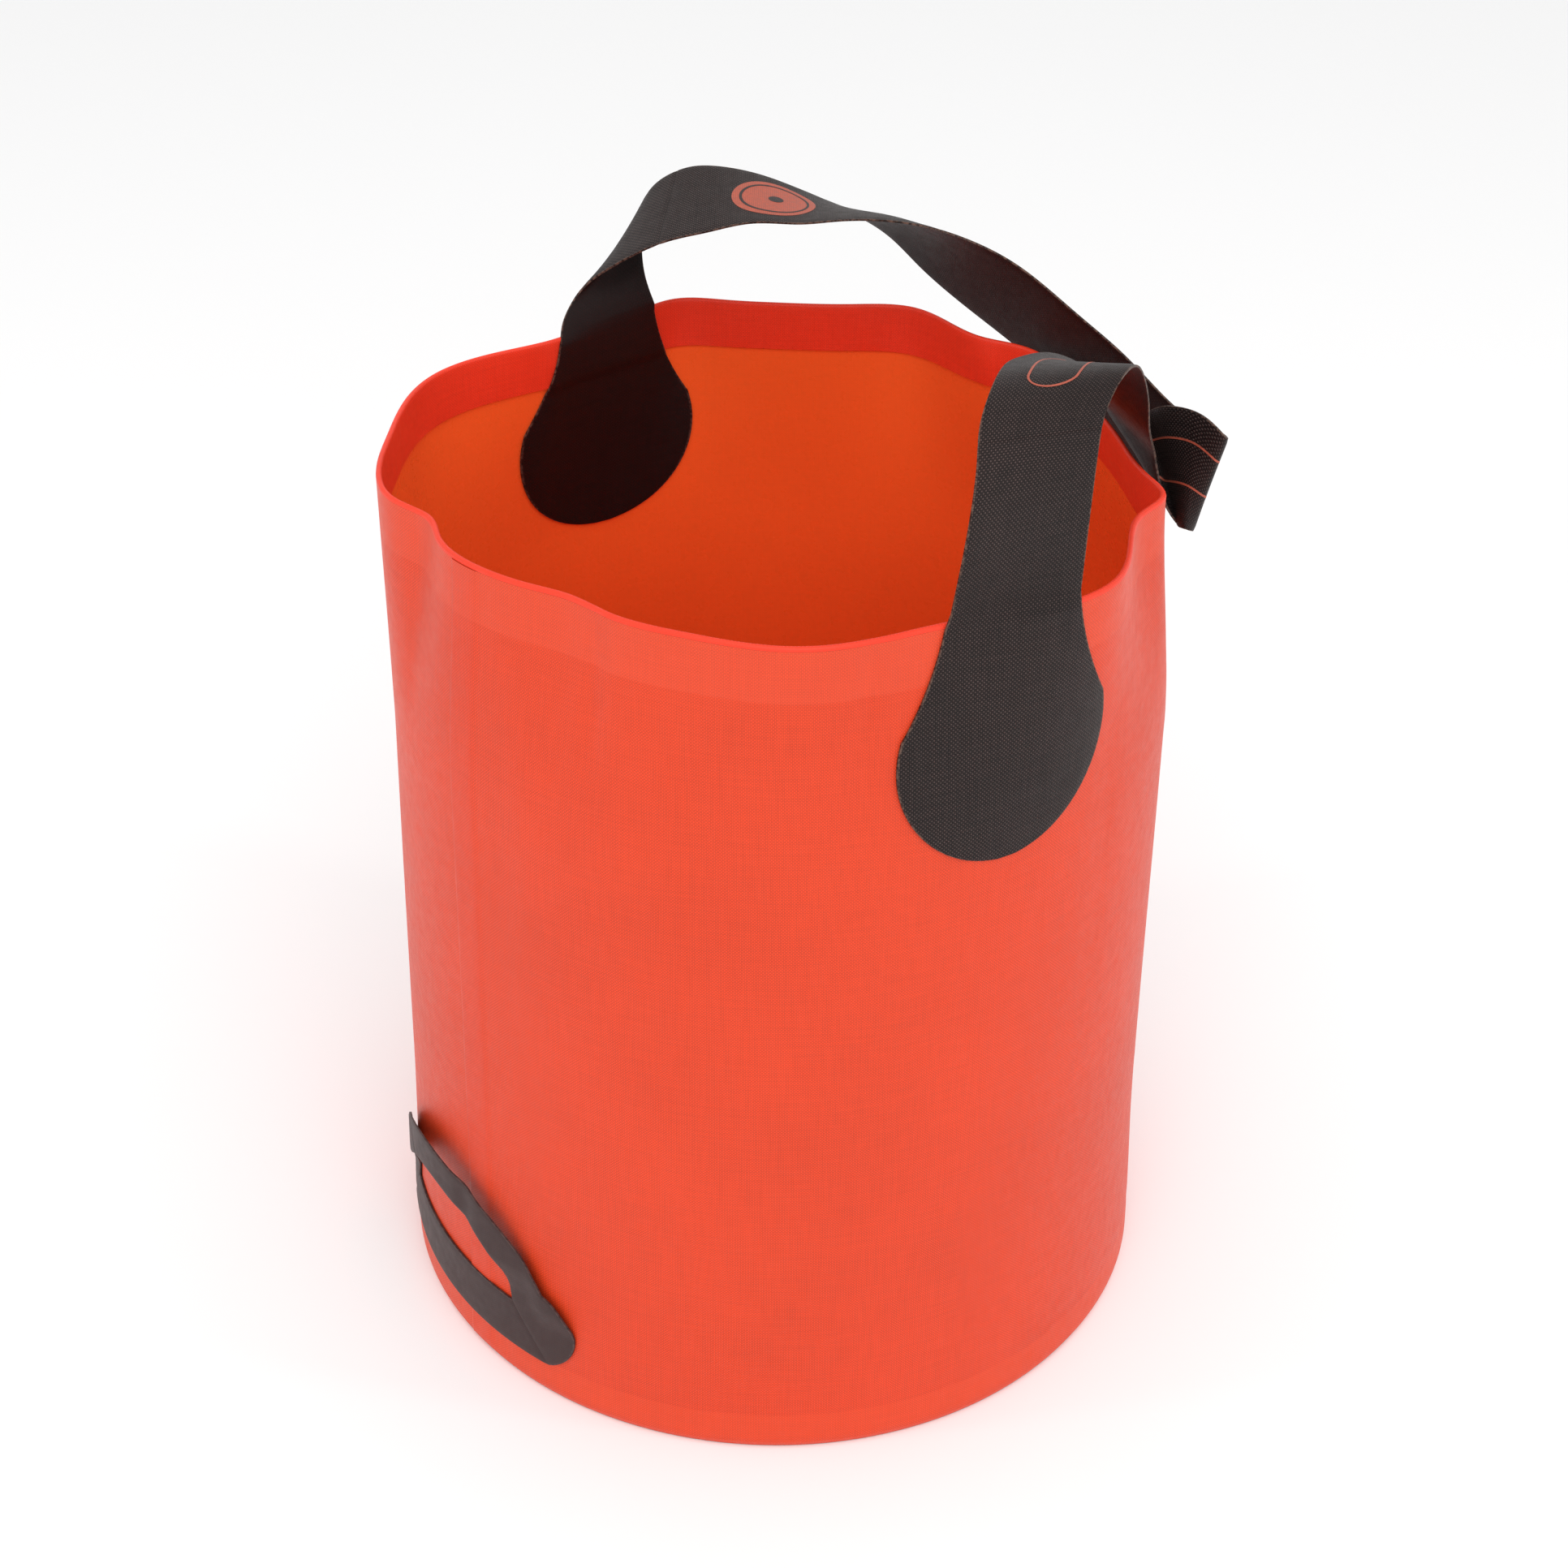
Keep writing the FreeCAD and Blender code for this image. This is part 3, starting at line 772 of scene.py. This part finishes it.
def ringPrint(name, inner, outer, lift, material):
    # a flat ring or disc on the strap: turn and radius become a station and a share of the width
    turn = np.radians(np.arange(0, 360, 5.0))[:, None]
    radius = np.linspace(inner, outer, 4 if inner > 0.1 else 10)[None, :]
    x, y = radius * np.cos(turn), radius * np.sin(turn)
    stations = prints["badgeStation"] + x / stationStep
    points, side = onStrap(stations, y / stationHalf, strap["thickness"] / 2 + lift)
    uv = np.stack([x, y], -1)
    uv = np.concatenate([uv, uv[:1]])
    return slabPiece(name, points, side, 0.05, uv, [material], closeRows=1, edge=1.0)


badge = ringPrint("badge_disc", 0.02, prints["badgeRadius"], 0.03, orangeInk)
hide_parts("strap_badge")
badgeParts = [badge, ringPrint("badge_ring", *prints["ringRadius"], prints["lift"] + 0.03, darkInk),
              ringPrint("badge_dot", 0.02, prints["dotRadius"], prints["lift"] + 0.03, darkInk)]


def capsuleLine():
    # closed outline: two straight runs along the strap joined by half circles, as station and share
    capHalf = prints["capsuleHalf"]
    step = strapLengths(prints["capsuleFrom"] + 1) - strapLengths(prints["capsuleFrom"])
    farStep = strapLengths(prints["capsuleTo"]) - strapLengths(prints["capsuleTo"] - 1)
    nearCap, farCap = capHalf / step, capHalf / farStep
    runs = np.linspace(prints["capsuleFrom"] + nearCap, prints["capsuleTo"] - farCap, 150)
    turn = np.radians(np.linspace(90, 270, 25))[1:-1]
    stations = np.concatenate([runs[::-1], runs[0] + nearCap * np.cos(turn),
                               runs, runs[-1] - farCap * np.cos(turn)])
    offset = np.concatenate([np.ones(150), np.sin(turn), -np.ones(150), -np.sin(turn)]) * capHalf
    width = np.linalg.norm(strapHalf(stations), axis=-1)
    return stations, prints["capsuleShare"] + offset / width


lineStations, lineShares = capsuleLine()
linePoints, lineSide = onStrap(lineStations, lineShares, strap["thickness"] / 2 + 0.03)
lineAlong = np.roll(linePoints, -1, axis=0) - np.roll(linePoints, 1, axis=0)
lineAlong /= np.linalg.norm(lineAlong, axis=-1, keepdims=True)
lineAcross = np.cross(lineSide, lineAlong)
lineShift = np.array([-0.5, 0, 0.5])[None, :, None] * prints["lineWidth"]
lineGrid = linePoints[:, None] + lineAcross[:, None] * lineShift
lineLength = np.arange(len(linePoints) + 1)[:, None] * 1.5 + np.zeros(3)
lineUv = np.stack([np.broadcast_to(np.array([-0.3, 0, 0.3]), lineLength.shape), lineLength], -1)
capsule = slabPiece("capsule_outline", lineGrid, np.broadcast_to(lineSide[:, None], lineGrid.shape),
                    0.05, lineUv, [orangeInk], closeRows=1, edge=1.0)
for printPiece in badgeParts + [capsule]:
    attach(printPiece, "strap")
print("prints made")


# the tilt handle: one die-cut sheet with a finger slot, its foot and ends on the wall and its top free
handle = {
    "low": 12.0, "half": 45.0, "endX": 53.0, "endZ": 27.2, "shoulder": (44.0, 38.5), "top": 65.5,
    "slotHalf": 31.5, "slotLow": 28.5, "slotSide": (29.5, 39.5), "slotTop": 55.0,
    "thickness": 0.9, "seat": 0.5,
    "bow": 5.0, "bowHalf": 46.0,            # how far the free strip stands off the wall, its half length
    "fold": (16.0, 4.0, 0.8),               # a fold across the strip: place, half width, depth
    "curl": 1.5,                            # how far its pointed ends lift
    "freeHalf": 20.0,   # the middle of the free strip, which moves whole with the grip; its shoulders are separate pieces
}


def arcThrough(a, b, c, count):
    # points on the circle through three points, evenly turned from the first to the last
    a, b, c = np.array(a, float), np.array(b, float), np.array(c, float)
    system = 2 * np.array([b - a, c - a])
    centre = np.linalg.solve(system, [b @ b - a @ a, c @ c - a @ a])
    turns = [np.arctan2(*(p - centre)[::-1]) for p in (a, b, c)]
    turns = np.unwrap(turns)
    turn = np.linspace(turns[0], turns[-1], count)
    return centre + np.linalg.norm(a - centre) * np.stack([np.cos(turn), np.sin(turn)], -1)


def handleHalfOutline():
    # the right half, bottom middle to top middle: the slot's edge and the sheet's outer edge, in step
    sx, sz = handle["shoulder"]
    foot, end, top = 30, 22, 46
    line = np.linspace(0, 1, foot)[:, None]
    outer = np.concatenate([
        (0, handle["low"]) + line * (handle["half"], 0),
        arcThrough((handle["half"], handle["low"]), (handle["endX"], handle["endZ"]), (sx, sz), end)[1:],
        arcThrough((sx, sz), (0, handle["top"]), (-sx, sz), 2 * top - 1)[1:top]])
    cx, cz = handle["slotSide"]
    side = np.array([(handle["slotHalf"], handle["slotLow"])]) * (1 - np.linspace(0, 1, end)[1:, None])
    side = side + np.array([(cx, cz)]) * np.linspace(0, 1, end)[1:, None]
    slotEdge = np.concatenate([(0, handle["slotLow"]) + line * (handle["slotHalf"], 0), side,
                               arcThrough((cx, cz), (0, handle["slotTop"]), (-cx, cz), 2 * top - 1)[1:top]])
    return slotEdge, outer, foot


def handleSheetGrid(first, last, mirror):
    # rows along the ring of sheet between slot and outer edge, laid on the wall and bowed off it
    slotEdge, outer, _ = handleHalfOutline()
    share = np.linspace(0, 1, 15)[None, :, None]
    flat = slotEdge[first:last, None] * (1 - share) + outer[first:last, None] * share
    x, z = flat[..., 0] * mirror, flat[..., 1]
    lift = handle["bow"] * np.clip(1 - (x / handle["bowHalf"]) ** 2, 0, 1) * ease((z - 33) / 12)
    place, wide, deep = handle["fold"]
    lift = lift - deep * np.exp(-((x - place) / wide) ** 2) * ease((z - 44) / 8)
    lift = lift + handle["curl"] * ease((np.abs(x) - 36) / 9) * ease((z - 25) / 9)
    radius = np.interp(z, wall["profileZ"], wall["profileRadius"]) + handle["seat"] + lift
    y = -np.sqrt(radius**2 - x**2)
    points = np.stack([x, y, z], -1)
    outward = np.stack([x / radius, y / radius, 0 * x], -1)
    return points, outward, flat


def handlePiece(name, grids, node):
    points, outward, flat = [np.concatenate(parts) for parts in zip(*grids)]
    normal = surfaceNormal(points, outward)
    across = np.broadcast_to(np.linspace(-1, 1, points.shape[1]), points.shape[:2]).copy()
    piece = slabPiece(name, points, normal, handle["thickness"], flat, [handleSheet], across=across)
    if node:
        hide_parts(node)
    return piece


slotEdge, outerEdge, footRows = handleHalfOutline()
bandMiddle = (slotEdge[:, 0] + outerEdge[:, 0]) / 2
freeRow = int(np.argmax((bandMiddle < handle["freeHalf"]) & (np.arange(len(slotEdge)) > footRows)))
lastRow = len(slotEdge)


def flipped(grid):  # the mirrored half, so that a piece's rows run on from one side to the other
    return [part[::-1] for part in grid]


def flatCut(grids):
    # the flat outline's box, turned so that its longer side is the length, and its area quad by quad
    area, corners = 0, []
    for points, _, flat in grids:
        flat = flat * (np.sign(points[..., :1].sum()), 1)
        one, two = flat[1:, 1:] - flat[:-1, :-1], flat[1:, :-1] - flat[:-1, 1:]
        area += np.abs(one[..., 0] * two[..., 1] - one[..., 1] * two[..., 0]).sum() / 2
        corners.append(flat.reshape(-1, 2))
    box = np.ptp(np.concatenate(corners), axis=0)
    return (float(box.min()) / mm, float(box.max()) / mm), float(area) / mm**2


footGrids = [flipped(handleSheetGrid(1, footRows, -1)), handleSheetGrid(0, footRows, 1)]
stripGrids = [handleSheetGrid(freeRow, lastRow, 1), flipped(handleSheetGrid(freeRow, lastRow - 1, -1))]
band = handlePiece("tilt_handle_foot", footGrids, "tilt_handle")
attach(band, "bucket_base")
gripMiddle = handlePiece("tilt_handle_strip", stripGrids, "tilt_handle_grip")
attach(gripMiddle, "grip")
for mirror, sideName in ((1, "right"), (-1, "left")):
    grid = handleSheetGrid(footRows - 1, freeRow + 1, mirror)
    shoulder = handlePiece("tilt_handle_shoulder_" + sideName, [grid], None)
    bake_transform(shoulder)
    size, area = flatCut([handleSheetGrid(footRows - 1, freeRow + 1, mirror)])
size, area = flatCut(footGrids)
size, area = flatCut(stripGrids)
print("tilt handle made")


# stage: a plain white floor, even sky, two tall narrow lights at the sides and a broad one high in front
stage = {
    "azimuth": -31.87,                         # the camera's direction, which the lights turn from
    "sideTurn": 74.0, "sideDistance": 1.25, "sideHeight": 0.55, "sideSize": (0.14, 1.5),
    "leftPower": 1.5, "rightPower": 1.9,
    "highTurn": 4.0, "highDistance": 1.2, "highHeight": 1.45, "highSize": (1.6, 1.6), "highPower": 15.0,
    "aim": (0, 0, 0.14), "sky": 0.85, "floorColour": (0.98, 0.98, 0.98), "floorHalf": 9, "floorZ": -0.0002,
}
floorMesh = bpy.data.meshes.new("floor")
floorCorners = [(x * stage["floorHalf"], y * stage["floorHalf"], stage["floorZ"])
                for x, y in ((-1, -1), (1, -1), (1, 1), (-1, 1))]
floorMesh.from_pydata(floorCorners, [], [(0, 1, 2, 3)])
floor = bpy.data.objects.new("floor", floorMesh)
bpy.context.scene.collection.objects.link(floor)
floorPaint = bpy.data.materials.new("paleFloor")
floorPaint.use_nodes = True
floorShader = floorPaint.node_tree.nodes["Principled BSDF"]
floorShader.inputs["Base Color"].default_value = stage["floorColour"] + (1,)
floorShader.inputs["Roughness"].default_value = 0.9
floorMesh.materials.append(floorPaint)


def softLight(name, turn, distance, height, size, power):
    # an area light at a turn from the camera's own direction, aimed at the bucket's middle
    light = bpy.data.lights.new(name, "AREA")
    light.shape = "RECTANGLE"
    light.size, light.size_y = size
    light.energy = power
    lamp = bpy.data.objects.new(name, light)
    a = np.radians(stage["azimuth"] + turn)
    lamp.location = (distance * np.cos(a), distance * np.sin(a), height)
    lamp.rotation_euler = (Vector(stage["aim"]) - lamp.location).to_track_quat("-Z", "Y").to_euler()
    bpy.context.scene.collection.objects.link(lamp)


for lightName, turn, power in (("sideLeft", -stage["sideTurn"], stage["leftPower"]),
                               ("sideRight", stage["sideTurn"], stage["rightPower"])):
    softLight(lightName, turn, stage["sideDistance"], stage["sideHeight"], stage["sideSize"], power)
softLight("highFront", stage["highTurn"], stage["highDistance"], stage["highHeight"],
          stage["highSize"], stage["highPower"])

sky = bpy.data.worlds.new("sky")
sky.use_nodes = True
sky.node_tree.nodes["Background"].inputs["Color"].default_value = (1, 1, 1, 1)
sky.node_tree.nodes["Background"].inputs["Strength"].default_value = stage["sky"]
bpy.context.scene.world = sky
bpy.context.scene.view_settings.view_transform = "Standard"

view = {
    "place": (0.54319, -0.33771, 0.56138), "forward": (-0.714886, 0.446711, -0.537947),
    "lens": 60.03, "roll": 0.016,
}
lens = bpy.data.cameras.new("camera")
lens.lens, lens.sensor_width, lens.clip_start = view["lens"], 36.0, 0.01
camera = bpy.data.objects.new("camera", lens)
ahead = Vector(view["forward"]).normalized()
level = ahead.cross(Vector((0, 0, 1))).normalized()
up = level.cross(ahead)
cosRoll, sinRoll = np.cos(view["roll"]), np.sin(view["roll"])
turnedRight, turnedUp = level * cosRoll + up * sinRoll, up * cosRoll - level * sinRoll
turned = Matrix((turnedRight, turnedUp, -ahead)).transposed().to_4x4()
camera.matrix_world = Matrix.Translation(view["place"]) @ turned
bpy.context.scene.collection.objects.link(camera)
bpy.context.scene.camera = camera
print("stage, lights and camera set")
